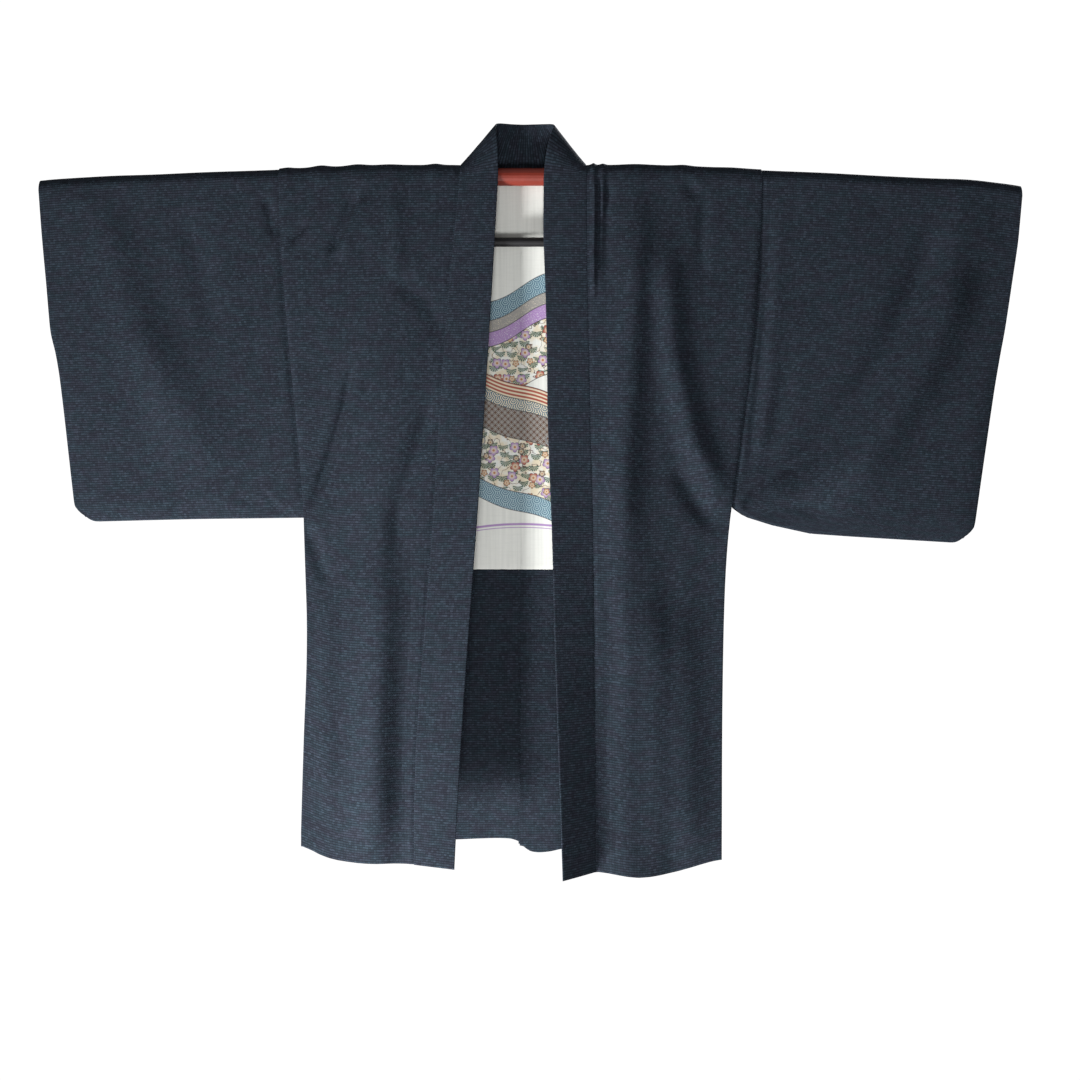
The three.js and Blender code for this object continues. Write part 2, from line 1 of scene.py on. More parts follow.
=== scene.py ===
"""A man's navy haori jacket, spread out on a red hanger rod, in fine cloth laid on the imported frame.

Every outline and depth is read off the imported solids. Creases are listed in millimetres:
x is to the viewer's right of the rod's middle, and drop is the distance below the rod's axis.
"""

import math

import bpy
import numpy as np
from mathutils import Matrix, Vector, noise
from mathutils.bvhtree import BVHTree


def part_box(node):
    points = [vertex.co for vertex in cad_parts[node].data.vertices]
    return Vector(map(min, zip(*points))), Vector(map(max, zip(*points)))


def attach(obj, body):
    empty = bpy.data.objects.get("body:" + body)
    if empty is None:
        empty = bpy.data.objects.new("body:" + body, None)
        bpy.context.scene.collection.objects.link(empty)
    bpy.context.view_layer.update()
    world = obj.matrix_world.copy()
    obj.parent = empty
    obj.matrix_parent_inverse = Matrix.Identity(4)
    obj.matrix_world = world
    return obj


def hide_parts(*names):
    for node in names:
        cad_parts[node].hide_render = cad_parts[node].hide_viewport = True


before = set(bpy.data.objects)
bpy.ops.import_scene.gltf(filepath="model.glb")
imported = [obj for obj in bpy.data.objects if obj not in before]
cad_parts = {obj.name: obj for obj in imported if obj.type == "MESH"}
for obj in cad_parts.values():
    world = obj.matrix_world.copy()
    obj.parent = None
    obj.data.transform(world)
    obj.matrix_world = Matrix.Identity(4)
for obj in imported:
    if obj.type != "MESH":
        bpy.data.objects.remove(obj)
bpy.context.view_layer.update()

MM = 0.001
FORWARD, BACK = -1, 1

CLOTH = 1.1 * MM
SILK = 0.8 * MM
BAND = 2.4 * MM
TUCK = 4 * MM  # how far one piece's edge runs under its neighbour at a seam
SINK = 1.3 * MM  # and how deep it lies there
STEP = 4.1 * MM  # the cloth's mesh size
FOLD_RADIUS = -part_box("sleeve_left")[0].y  # the cloth's outer face where it lies over the rod
FOLD_GAIN = 1.8  # how much the creases' heights are raised
CUFF_OPEN = 216 * MM  # how far down a cuff is open
CORNER = 23 * MM  # the radius of a sleeve's corner
CUFF_CLOSING = 30 * MM  # a cuff goes from open to closed over this distance
CUFF_SEAM = 50 * MM  # the creases die away over this distance beside the closed part of a cuff
LAYERS_MEET = 45 * MM  # and over this distance above a sleeve's bottom
OFF_ROD = 16 * MM  # the creases grow to their full height over this distance below the rod
STANDING_DROP = 14 * MM  # how fast the cloth's standing off the rod dies away below it
TURN_STEPS = 14  # steps of the mesh round the rod
RIM_SHARES = np.array([0.0, 0.12, 0.45, 1.0])  # where a rounded rim has its rows

# ---- The camera ----

CAMERA_DISTANCE = 3.0
FRAME_WIDTH = 1.4926  # what the picture spans at the rod's depth
CAMERA_X = 0.0263
CAMERA_DROP = 0.5017
SENSOR = 36.0


def make_camera():
    data = bpy.data.cameras.new("camera")
    data.sensor_width = SENSOR
    data.lens = SENSOR * CAMERA_DISTANCE / FRAME_WIDTH
    camera = bpy.data.objects.new("camera", data)
    camera.location = (CAMERA_X, -CAMERA_DISTANCE, -CAMERA_DROP)
    camera.rotation_euler = (math.pi / 2, 0, 0)
    bpy.context.scene.collection.objects.link(camera)
    bpy.context.scene.camera = camera


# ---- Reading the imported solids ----


def smooth(values, width):
    """A curve or the rows of a grid, averaged over a bell of that many samples each side."""
    if width < 1:
        return values
    reach = int(3 * width)
    bell = np.exp(-0.5 * (np.arange(-reach, reach + 1) / width) ** 2)
    bell /= bell.sum()
    first, last = values[:1], values[-1:]
    before = 2 * first - values[1 : reach + 1][::-1]
    after = 2 * last - values[-reach - 1 : -1][::-1]
    padded = np.concatenate([before, values, after])
    kept = [padded[i : i + len(values)] * bell[i] for i in range(len(bell))]
    return sum(kept)


class Form:
    """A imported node's solid, read for the fine cloth that lies on it."""

    def __init__(self, node):
        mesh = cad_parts[node].data
        mesh.calc_loop_triangles()
        self.points = np.array([v.co for v in mesh.vertices], float)
        self.triangles = np.array([t.vertices for t in mesh.loop_triangles])
        self.tree = BVHTree.FromPolygons(self.points.tolist(), self.triangles.tolist())

    def cut(self, height):
        """Where the solid's edges cross the surface on which height(points) is zero."""
        value = height(self.points)
        pairs = np.concatenate([self.triangles[:, [a, b]] for a, b in ((0, 1), (1, 2), (2, 0))])
        a, b = pairs[:, 0], pairs[:, 1]
        crossing = (value[a] < 0) != (value[b] < 0)
        a, b = a[crossing], b[crossing]
        share = (value[a] / (value[a] - value[b]))[:, None]
        return self.points[a] * (1 - share) + self.points[b] * share

    def edges(self, z, side, facing):
        """The nearest and furthest distance out at a height, on the front or the back."""
        hit = self.cut(lambda p: p[:, 2] - z)
        hit = hit[hit[:, 1] * facing > 0] if facing else hit
        out = hit[:, 0] * side
        return out.min(), out.max()

    def ends(self, x, facing):
        """The lowest and highest point at a place along X, on the front or the back."""
        hit = self.cut(lambda p: p[:, 0] - x)
        hit = hit[hit[:, 1] * facing > 0] if facing else hit
        return hit[:, 2].min(), hit[:, 2].max()

    def depth(self, x, z, facing):
        """How far the outer face stands forward or back at a place."""
        start = Vector((x, facing, z))
        hit = self.tree.ray_cast(start, Vector((0, -facing, 0)))[0]
        if hit is None or hit.y * facing < -1.0 * MM:
            hit = self.tree.find_nearest(Vector((x, facing * 2 * FOLD_RADIUS, z)))[0]
        return hit.y


def sampled(function, low, high, count=60, width=0.0):
    """A function worked out at even places, smoothed, and read between them."""
    places = np.linspace(low, high, count)
    values = smooth(np.array([function(p) for p in places]), width)
    return lambda at: np.interp(at, places, values)


def shares(length, step=STEP, rim=0.0):
    """Even shares of a length, with closer ones where a rim is rounded."""
    inner = np.linspace(0, 1, max(2, round(length / step)) + 1)
    if not rim:
        return inner
    near = RIM_SHARES * rim / length
    inner = inner[(inner > near[-1] * 1.3) & (inner < 1 - near[-1] * 1.3)]
    return np.concatenate([near, inner, 1 - near[::-1]])


# ---- Creases ----


def polyline(stations):
    """A smooth line through a crease's stations."""
    points = np.array(stations, float)
    length = np.concatenate([[0], np.cumsum(np.linalg.norm(np.diff(points, axis=0), axis=1))])
    even = np.linspace(0, length[-1], max(4, round(length[-1] / 7)))
    line = np.stack([np.interp(even, length, points[:, k]) for k in (0, 1)], axis=-1)
    return smooth(line, min(2.0, len(line) / 8))


def crease_height(x, drop, width, height, bulge, stations):
    """A ridge or valley along a line, fading at its ends, with a bulge of that share beside it."""
    line = polyline(stations)
    steps = np.diff(line, axis=0)
    nearest = np.full(x.shape, 1e9)
    side = np.zeros(x.shape)
    along = np.zeros(x.shape)
    for k, (start, step) in enumerate(zip(line, steps)):
        dx, dd = x - start[0], drop - start[1]
        share = np.clip((dx * step[0] + dd * step[1]) / (step @ step), 0, 1)
        away = np.hypot(dx - share * step[0], dd - share * step[1])
        closer = away < nearest
        nearest = np.where(closer, away, nearest)
        turn = dx * step[1] - dd * step[0]
        side = np.where(closer, np.sign(turn), side)
        along = np.where(closer, (k + share) / len(steps), along)
    fade = np.clip(np.minimum(along, 1 - along) * 4, 0, 1)
    fade = 0.12 + 0.88 * fade * fade * (3 - 2 * fade)
    signed = nearest * side
    beside = np.exp(-(((np.abs(signed) - 1.9 * width) / (1.2 * width)) ** 2)) * (signed * bulge > 0)
    return height * fade * (np.exp(-((nearest / width) ** 2)) - abs(bulge) * beside)


def creased(x, drop, table):
    """The sum of a table's creases, in metres."""
    total = np.zeros_like(x)
    for row in table:
        total += crease_height(x / MM, drop / MM, *row)
    return total * MM * FOLD_GAIN


def ripple(x, drop, seed):
    """The cloth's own slight waviness, from broad to fine."""
    flat = np.stack([x.ravel(), drop.ravel()], axis=1)
    wide = [noise.noise(Vector((a * 9, b * 5, seed))) for a, b in flat]
    fine = [noise.noise(Vector((a * 38, b * 24, seed + 5))) for a, b in flat]
    return (np.array(wide) * 1.5 * MM + np.array(fine) * 0.32 * MM).reshape(x.shape)


# ---- Making cloth ----


def unit(vectors):
    return vectors / np.maximum(np.linalg.norm(vectors, axis=-1, keepdims=True), 1e-12)


def arc(grid, axis):
    """How far along its rows or columns each point of a grid lies."""
    steps = np.linalg.norm(np.diff(grid, axis=axis), axis=2)
    start = np.zeros_like(np.take(steps, [0], axis=axis))
    return np.concatenate([start, np.cumsum(steps, axis=axis)], axis=axis)


def link_object(name, mesh):
    made = bpy.data.objects.new(name, mesh)
    bpy.context.scene.collection.objects.link(made)
    return made


def cloth(name, outer, uv, thickness, material, towards):
    """A closed cloth with rounded edges. Its outer side is a grid of points, and towards says where
    the first points' outer side faces."""
    across = np.gradient(outer, axis=1)
    along = np.gradient(outer, axis=0)
    normal = unit(np.cross(along, across))
    if normal[0, 0] @ np.array(towards) < 0:
        normal = -normal
    sideways, lengthways = arc(outer, 1), arc(outer, 0)
    edge = np.minimum(
        np.minimum(sideways, sideways[:, -1:] - sideways),
        np.minimum(lengthways, lengthways[-1:] - lengthways),
    )
    radius = thickness / 2
    full = np.sqrt(1 - (1 - np.clip(edge / radius, 0.004, 1)) ** 2)[..., None]
    middle = outer - normal * radius
    points = np.concatenate([middle + normal * radius * full, middle - normal * radius * full])
    rows, columns = outer.shape[:2]
    at = np.arange(rows * columns).reshape(rows, columns)
    quads = np.stack([at[:-1, :-1], at[:-1, 1:], at[1:, 1:], at[1:, :-1]], axis=-1).reshape(-1, 4)
    a, b, c = (points.reshape(-1, 3)[quads[0, k]] for k in range(3))
    if np.cross(b - a, c - a) @ normal[0, 0] < 0:
        quads = quads[:, ::-1]
    flip = quads[0, 1] != at[0, 1]
    rim = np.concatenate([at[0, :-1], at[:-1, -1], at[-1, :0:-1], at[:0:-1, 0]])
    after = np.roll(rim, -1)
    under = rows * columns
    walls = np.stack([rim, rim + under, after + under, after], axis=-1)
    if flip:
        walls = walls[:, ::-1]
    faces = np.concatenate([quads, quads[:, ::-1] + under, walls])
    mesh = bpy.data.meshes.new(name)
    mesh.from_pydata(points.reshape(-1, 3).tolist(), [], faces.tolist())
    mesh.update()
    layer = mesh.uv_layers.new(name="cloth")
    loops = np.zeros(len(mesh.loops), np.int32)
    mesh.loops.foreach_get("vertex_index", loops)
    flat_uv = np.concatenate([uv.reshape(-1, 2)] * 2)
    layer.data.foreach_set("uv", flat_uv[loops].ravel())
    mesh.polygons.foreach_set("use_smooth", np.ones(len(mesh.polygons), bool))
    mesh.materials.append(material)
    return link_object(name, mesh)


def tucked(grid, columns_in, sink_direction):
    """Sinks a grid's first columns, so that its edge runs under the neighbouring piece."""
    depth = SINK * np.clip(1 - arc(grid, 1) / columns_in, 0, 1) ** 0.5
    return grid + depth[..., None] * sink_direction


# ---- The relief of the fronts and backs, shared by the pieces that meet there ----

# width, height, bulge, then the crease's stations as (x, drop), all in millimetres. A ridge stands
# out and has a height above 0. A bulge above 0 is on the left of a crease that runs down.
FRONT_CREASES = [
    # the left front
    (6.5, -4.2, 0.5, [(-221, 17), (-238, 52), (-253, 86), (-264, 116)]),
    (5.5, -2.2, 0.4, [(-293, 62), (-308, 80), (-321, 95)]),
    (6.5, -4.4, 0.5, [(-226, 240), (-242, 317), (-261, 380), (-278, 430), (-299, 470)]),
    (14, -1.7, 0.0, [(-195, 130), (-150, 158), (-118, 188), (-112, 240)]),
    (15, -5.4, 0.0, [(-112, 285), (-143, 380), (-168, 460), (-172, 540)]),
    (33, 10.0, 0.0, [(-186, 500), (-190, 620), (-198, 760), (-204, 960)]),
    (9, -1.8, 0.0, [(-297, 474), (-284, 510), (-262, 570)]),
    (18, 2.4, 0.0, [(-262, 560), (-268, 720), (-262, 900)]),
    (11, 1.8, 0.0, [(-176, 20), (-170, 90), (-172, 170)]),
    # the left sleeve
    (7, -2.4, 0.0, [(-352, 22), (-343, 60), (-340, 86)]),
    (29, 3.6, 0.0, [(-592, 12), (-548, 130), (-502, 290), (-476, 390)]),
    (32, 3.2, 0.0, [(-540, 190), (-488, 262), (-452, 336), (-430, 430)]),
    (16, -2.2, 0.0, [(-470, 40), (-440, 130), (-420, 230)]),
    (4, -1.8, 0.3, [(-358, 432), (-337, 455), (-316, 478)]),
    (9, -1.8, 0.0, [(-400, 440), (-350, 458), (-310, 480)]),
    # the armhole seams
    (3.6, -1.3, 0.0, [(-334, -5), (-332, 60), (-328, 140), (-321, 225), (-314, 300), (-305, 400),
                      (-300, 470)]),
    (3.6, -1.3, 0.0, [(332, -5), (331, 60), (328, 140), (321, 225), (311, 300), (299, 400),
                      (288, 478)]),
    # the tucks beside the right band
    (2.8, -1.7, 0.0, [(106, -14), (107, 30), (106, 80), (104, 120)]),
    (3.2, 2.6, 0.0, [(101, -14), (101, 40), (100, 110), (100, 175)]),
    (3.0, 1.6, 0.0, [(112, -12), (113, 20), (112, 60)]),
    (7, -2.0, 0.0, [(121, -8), (120, 40), (116, 150)]),
    # the right front
    (23, 8.6, 0.0, [(164, 12), (162, 80), (154, 171), (151, 240), (145, 325), (140, 420),
                    (140, 560)]),
    (20, 7.4, 0.0, [(193, 60), (202, 170), (208, 250), (238, 372), (278, 440), (294, 466)]),
    (42, 7.5, 0.0, [(186, 560), (200, 680), (206, 800), (210, 960)]),
    (13, -2.8, 0.0, [(210, 395), (239, 450), (276, 492)]),
    (9, -1.8, 0.0, [(221, -8), (232, 12), (241, 34)]),
    (8, -1.7, 0.0, [(254, 20), (248, 90), (250, 150)]),
    (10, -1.7, 0.0, [(120, 560), (128, 640), (122, 760)]),
    # the right sleeve
    (8, -2.6, 0.3, [(343, 20), (340, 97), (335, 187), (330, 261), (323, 325), (315, 400),
                    (306, 440)]),
    (22, -6.5, 0.0, [(318, 452), (385, 400), (462, 310), (522, 210), (560, 118), (580, 30)]),
    (30, 10.5, 0.0, [(400, 470), (470, 400), (540, 290), (586, 190), (612, 90)]),
    (5, -2.8, 0.5, [(300, 482), (310, 449), (334, 424), (392, 384)]),
    (12, -2.2, 0.0, [(312, 476), (370, 456), (420, 462)]),
    (12, -2.0, 0.0, [(322, 430), (356, 330), (372, 240)]),
]
# The back hangs in similar folds of its own.
BACK_CREASES = [
    (6.5, -3.0, 0.5, [(-228, 22), (-246, 70), (-262, 122)]),
    (7, -3.2, 0.5, [(-214, 262), (-238, 340), (-270, 420), (-298, 472)]),
    (16, -3.0, 0.0, [(-104, 60), (-122, 200), (-134, 330), (-150, 470)]),
    (34, 6.5, 0.0, [(-196, 520), (-190, 660), (-200, 800), (-204, 960)]),
    (26, 4.4, 0.0, [(-582, 30), (-540, 150), (-492, 300), (-470, 400)]),
    (28, -3.4, 0.0, [(-330, 450), (-410, 372), (-470, 250), (-500, 120)]),
    (5, -2.2, 0.4, [(-300, 480), (-312, 448), (-352, 410)]),
    (7, -2.2, 0.0, [(-345, 24), (-341, 70), (-338, 120)]),
    (26, 5.0, 0.0, [(148, 20), (152, 120), (150, 260), (158, 420), (160, 560)]),
    (20, 4.4, 0.0, [(212, 80), (216, 220), (246, 360), (288, 458)]),
    (36, 6.5, 0.0, [(214, 580), (206, 700), (208, 960)]),
    (13, -2.6, 0.0, [(196, 410), (232, 462), (272, 500)]),
    (30, -6.5, 0.0, [(318, 452), (398, 402), (474, 304), (540, 196), (586, 60)]),
    (5, -2.6, 0.5, [(300, 482), (312, 446), (340, 420), (396, 372)]),
    (8, -2.2, 0.0, [(342, 24), (338, 120), (332, 230), (322, 330)]),
    (9, -1.8, 0.0, [(74, 10), (78, 80), (70, 150)]),
    (9, -1.8, 0.0, [(-64, 12), (-60, 90), (-68, 160)]),
]
# Where the cloth stands up on the rod: its place, width and height in millimetres.
TOP_BUMPS = [
    (-322, 9, 1.4), (-276, 13, 2.4), (-226, 15, 2.0), (-182, 18, 1.0), (-118, 10, 1.8),
    (100, 3.2, 2.6), (113, 4.5, 1.8), (158, 22, 1.3), (224, 12, 1.4), (292, 22, 0.8),
    (-560, 40, 0.8), (-440, 60, 0.7), (420, 60, 0.7), (610, 30, 0.9),
]


def standing(x):
    """How far the cloth stands off the rod along its top."""
    return sum(h * MM * np.exp(-(((x / MM - at) / w) ** 2)) for at, w, h in TOP_BUMPS)


def relief(x, drop, facing):
    """How far the creases and ripples lift the cloth at each place."""
    table, seed = {FORWARD: (FRONT_CREASES, 3.0), BACK: (BACK_CREASES, 71.0)}[facing]
    return creased(x, drop, table) + ripple(x, drop, seed)


def from_rod(drop):
    """How fully the creases show at a distance below the rod, up to 1."""
    return np.clip(drop / OFF_ROD, 0, 1)


def inwards(outer):
    """The direction from each point of a piece that hangs over the rod to the middle between."""
    return np.where(outer[..., 1:2] < 0, 1.0, -1.0) * np.array([0, 1.0, 0])


def surface(form, out, z, side, facing, reach, rows_width=7, columns_width=2):
    """The outer face's depth on a grid of places, smoothed. Places past the solid's edges, which
    reach gives as nearest and furthest, take the depth beside the edge."""
    inside = 2.0 * MM
    held = np.clip(out, reach[0] + inside, reach[1] - inside)
    y = np.array([form.depth(side * a, b, facing) for a, b in zip(held.ravel(), z.ravel())])
    y = smooth(y.reshape(out.shape), rows_width)
    return smooth(y.T, columns_width).T


# ---- The pieces ----


def body_columns():
    """Shares across a body panel, closer together near its inner edge, where there are tucks."""
    width, close = 0.25, 0.034
    near = np.arange(0, close, 1.5 * MM)
    far = np.linspace(close, width, round((width - close) / STEP))
    rim = RIM_SHARES * CLOTH / 2
    inner = np.concatenate([near, far])
    inner = inner[(inner > CLOTH) & (inner < width - CLOTH)]
    return np.concatenate([rim, inner, width - rim[::-1]]) / width


def body_panel(name, side, material):
    """One length of cloth from the front hem over the rod to the back hem."""
    form = Form(name)
    middle = (form.ends(0.15 * side, FORWARD)[0] + form.ends(0.15 * side, BACK)[0]) / 2
    tops = sampled(lambda out: form.ends(side * out, None)[1], 0.1, 0.33, 24, 2)
    columns = body_columns()

    def axis_height(x):
        return tops(np.clip(side * x, 0.1, 0.33)) - FOLD_RADIUS

    def fall(facing, levels):
        low, high = middle + 0.02, -0.002
        inner = sampled(lambda z: form.edges(z, side, facing)[0], low, high, 40, 1.2)
        outer = sampled(lambda z: form.edges(z, side, facing)[1], low, high, 40, 1.2)
        hem_from, hem_to = inner(low) + 1.2 * MM, outer(low) - 2 * MM
        hem = sampled(lambda out: form.ends(side * out, facing)[0], hem_from, hem_to, 60, 1)
        level = levels[:, None] * middle
        start = inner(level) - TUCK
        out = start + (outer(level) - start) * columns[None, :]
        x = side * out
        z = axis_height(x) * (1 - levels[:, None]) + hem(out) * levels[:, None]
        y = surface(form, out, z, side, facing, (inner(level), outer(level)))
        y[levels == 0] = facing * FOLD_RADIUS
        blend = from_rod(levels[:, None] * -middle)
        y = y + facing * relief(x, -z, facing) * blend
        y = y + facing * standing(x) * np.exp(z / STANDING_DROP)
        return np.stack([x, y, z], axis=-1)

    down = shares(-middle, rim=CLOTH / 2)
    down = np.concatenate([[0.0], down[(down > 0.004) & (down <= 1)]])
    front = fall(FORWARD, down)[::-1]
    back = fall(BACK, down)
    turns = np.linspace(0, math.pi, TURN_STEPS + 1)[1:-1]
    neck = []
    for turn in turns:
        slanted = form.cut(lambda p: p[:, 1] * math.sin(turn) + p[:, 2] * math.cos(turn))
        facing_up = slanted[:, 2] * math.sin(turn) - slanted[:, 1] * math.cos(turn) > 0
        neck.append((slanted[facing_up, 0] * side).min() - TUCK * 0.3)
    over = []
    for turn, inner in zip(turns, neck):
        share = turn / math.pi
        edge = side * (front[-1, -1, 0] * side * (1 - share) + back[0, -1, 0] * side * share)
        x = side * inner + (edge - side * inner) * columns
        radius = FOLD_RADIUS + standing(x)
        y = -radius * math.cos(turn)
        z = axis_height(x) + radius * math.sin(turn)
        over.append(np.stack([x, y, z], axis=-1))
    outer = np.concatenate([front, np.array(over), back])
    length = arc(outer, 0)[:, -1:] + 0 * outer[..., 0]
    uv = np.stack([np.abs(outer[..., 0]), length], axis=-1)
    outer = tucked(outer, 2 * TUCK, inwards(outer))
    return cloth(f"{name}_cloth", outer, uv, CLOTH, material, (0, -1, 0))


def sleeve(name, side, material):
    """A flat tube over the rod, its layers meeting below and along the closed part of its cuff."""
    form = Form(name)
    low, high = form.points[:, 2].min(), form.points[:, 2].max()
    armhole = sampled(lambda z: form.edges(z, side, None)[0], low + 12 * MM, high - 30 * MM, 40, 1.5)
    cuff = sampled(lambda z: form.edges(z, side, None)[1], low + 4 * MM, high - 30 * MM, 60, 1.0)
    reach = (side * form.points[:, 0]).max()
    near = form.edges(0.0, side, None)[0] + 1.5 * MM
    top = sampled(lambda out: form.ends(side * out, None)[1], near, reach - MM, 60, 1.5)
    inmost = (side * form.points[:, 0]).min() + 4 * MM
    corner_out = cuff(low + 30 * MM) - CORNER - 2 * MM
    bottom = sampled(lambda out: form.ends(side * out, None)[0], inmost, corner_out, 50, 1.0)
    columns = shares(0.34, rim=CLOTH / 2)
    down = shares(0.49, rim=CLOTH / 2)
    down = np.concatenate([[0.0], down[down > 0.004]])

    def layer(facing):
        u, s = columns[None, :], down[:, None]
        z = low * s + 0 * u
        for _ in range(4):
            start = armhole(z) - TUCK
            out = start + (cuff(z) - start) * u
            floor = bottom(out)
            z = (top(out) - FOLD_RADIUS) * (1 - s) + floor * s
        from_cuff = np.clip((cuff(z) - out) / CORNER, 0, 1)
        from_floor = np.clip((z - floor) / CORNER, 0, 1)
        out = out - CORNER * (1 - from_cuff) * (1 - np.sqrt(1 - (1 - from_floor) ** 2 / 2))
        z = z + CORNER * (1 - from_floor) * (1 - np.sqrt(1 - (1 - from_cuff) ** 2 / 2))
        x = side * out
        inset = 3 * MM
        z_read = np.maximum(z, floor + inset)
        y = surface(form, out, z_read, side, facing, (armhole(z), cuff(z) - inset), 3, 1.5)
        y[0] = facing * FOLD_RADIUS
        near_floor = np.clip((z - floor) / LAYERS_MEET, 0, 1)
        closed = np.clip((-z - CUFF_OPEN) / CUFF_CLOSING, 0, 1)
        near_cuff = 1 - closed * (1 - np.clip((cuff(z) - out) / CUFF_SEAM, 0, 1))
        cover = near_floor * near_cuff * from_rod(-s * low)
        y = y + facing * relief(x, -z, facing) * cover
        y = y + facing * standing(x) * np.exp(z / STANDING_DROP)
        y = facing * np.maximum(facing * y, CLOTH + 0.2 * MM)
        return np.stack([x, y, z], axis=-1)

    front, back = layer(FORWARD)[::-1], layer(BACK)
    over = []
    for turn in np.linspace(0, math.pi, TURN_STEPS - 1)[1:-1]:
        x = front[-1, :, 0]
        radius = FOLD_RADIUS + standing(x)
        z = front[-1, :, 2] + radius * math.sin(turn)
        over.append(np.stack([x, -radius * math.cos(turn), z], axis=-1))
    outer = np.concatenate([front, np.array(over), back])
    length = arc(outer, 0)[:, 40:41] + 0 * outer[..., 0]
    uv = np.stack([columns[None, :] * 0.345 + 0 * length, length], axis=-1)
    outer = tucked(outer, 2 * TUCK, inwards(outer))
    return cloth(f"{name}_cloth", outer, uv, CLOTH, material, (0, -1, 0))


def back_layer(name, side, thickness, material, tuck_bottom):
    """A layer inside the back, whose face looks forward."""
    form = Form(name)
    low, high = form.points[:, 2].min(), form.points[:, 2].max()
    width = side * form.points[:, 0].mean() * 2
    ends_at = form.ends(side * width / 2, None)
    first, last = ends_at[0] + 15 * MM, ends_at[1] - 4 * MM
    outer_edge = sampled(lambda z: form.edges(z, side, None)[1], first, last, 30, 1)
    near, far = 2 * MM, width - 12 * MM
    bottom = sampled(lambda out: form.ends(side * out, None)[0], near, far, 60, 1)
    top = sampled(lambda out: form.ends(side * out, None)[1], near, far, 40, 1)
    s = shares(high - low, rim=thickness / 2)[:, None]
    u = shares(width, rim=thickness / 2)[None, :]
    z = high * (1 - s) + low * s + 0 * u
    for _ in range(3):
        out = -TUCK / 2 + (outer_edge(z) + TUCK / 2) * u
        z = top(np.abs(out)) * (1 - s) + (bottom(np.abs(out)) - tuck_bottom) * s
    x = side * out
    reach = (0 * out, outer_edge(z))
    y = surface(form, out, np.clip(z, low, high - MM), side, FORWARD, reach, 5, 2)
    y = y + relief(x, -z, BACK) * from_rod(-z)
    if tuck_bottom:
        y = y + SINK * np.clip(1 - (z - z[-1:]) / (2 * TUCK), 0, 1)
    outer = np.stack([x, y, z], axis=-1)
    uv = np.stack([x, z], axis=-1)
    return cloth(f"{name}_cloth", outer, uv, thickness, material, (0, -1, 0))


def gusset(name, side, material):
    """The strip between a front and the back, tucked inwards."""
    form = Form(name)
    low, high = form.points[:, 2].min(), form.points[:, 2].max()

    def span(z):
        hit = form.cut(lambda p: p[:, 2] - z)
        return np.abs(hit[:, 1]).max()

    half = sampled(span, low + MM, high - MM, 30, 1)
    s = shares(high - low, rim=CLOTH / 2)[:, None]
    u = shares(0.06, rim=CLOTH / 2)[None, :]
    z = low * s + high * (1 - s) + 0 * u
    y = (2 * u - 1) * (half(z) + MM)
    x = np.zeros_like(y)
    inset = 0.5 * MM
    nearest = np.abs(form.points[:, 0]).min() * side
    for i in np.ndindex(*x.shape):
        y_inside = float(np.clip(y[i], -half(z[i]) + inset, half(z[i]) - inset))
        z_inside = float(np.clip(z[i], low + inset, high - inset))
        hit = form.tree.ray_cast(Vector((side, y_inside, z_inside)), Vector((-side, 0, 0)))[0]
        x[i] = hit.x if hit else nearest
    x = smooth(smooth(x, 5).T, 1.5).T
    outer = np.stack([x, y, z], axis=-1)
    uv = np.stack([y, -z], axis=-1)
    return cloth(f"{name}_cloth", outer, uv, CLOTH, material, (side, 0, 0))


# The band from the rod's front over the shoulder to the middle of the back neck, in millimetres:
# its seam (out, y, z), its free edge (out, y, z).
NECK_ROWS = {
    -1: [
        ((83.7, -14, 8.2), (31, -15.8, 22)),
        ((83.7, -7.8, 14.2), (32, -14.5, 44)),
        ((83.7, -2, 16.4), (34, -10, 62)),
        ((82.7, 1, 18.2), (36, -3, 72)),
        ((77, 5, 18.8), (35, 6, 76)),
        ((60, 11, 15.0), (28, 13, 77)),
        ((32, 14.4, 11.6), (12, 15.8, 76)),
    ],
    1: [
        ((90.5, -14, 8.2), (33, -15.8, 22)),
        ((90.5, -7.8, 14.2), (37, -14.5, 44)),
        ((90.5, -2, 16.4), (42, -10, 62)),
        ((89.7, 1, 18.2), (47, -3, 71)),
        ((85, 5, 18.8), (47, 6, 75)),
        ((70, 11, 15.0), (38, 13, 76)),
        ((40, 14.4, 11.6), (22, 15.8, 76)),
    ],
}
NECK_MIDDLE = ((0, 15.2, 10.6), (4, 16.2, 75.5))


def collar_line(form, side):
    """The band's seam and free edge up one front, from the hem to the rod."""
    across = (-0.12, -0.075) if side < 0 else (0.075, 0.09)
    low = min(form.ends(x, FORWARD)[0] for x in across)
    rows = []
    near_edge = 4 * MM
    for z in np.linspace(low + 12 * MM, 0, 60):
        hit = form.cut(lambda p: p[:, 2] - z)
        hit = hit[hit[:, 0] * side > 0]
        hit = hit[hit[:, 1] < 2 * MM]
        out = hit[:, 0] * side
        seam_y = hit[out > out.max() - near_edge, 1].min()
        free_y = hit[out < out.min() + near_edge, 1].min()
        rows.append(((side * out.max(), seam_y, z), (side * out.min(), free_y, z)))
    return np.array(rows)


def read_along(places, gone, path):
    """Points of the band's seam and free edge at some distances along it."""
    edges = [
        np.stack([np.interp(places, gone, path[:, k, c]) for c in range(3)], axis=-1) for k in (0, 1)
    ]
    return np.stack(edges, axis=1)


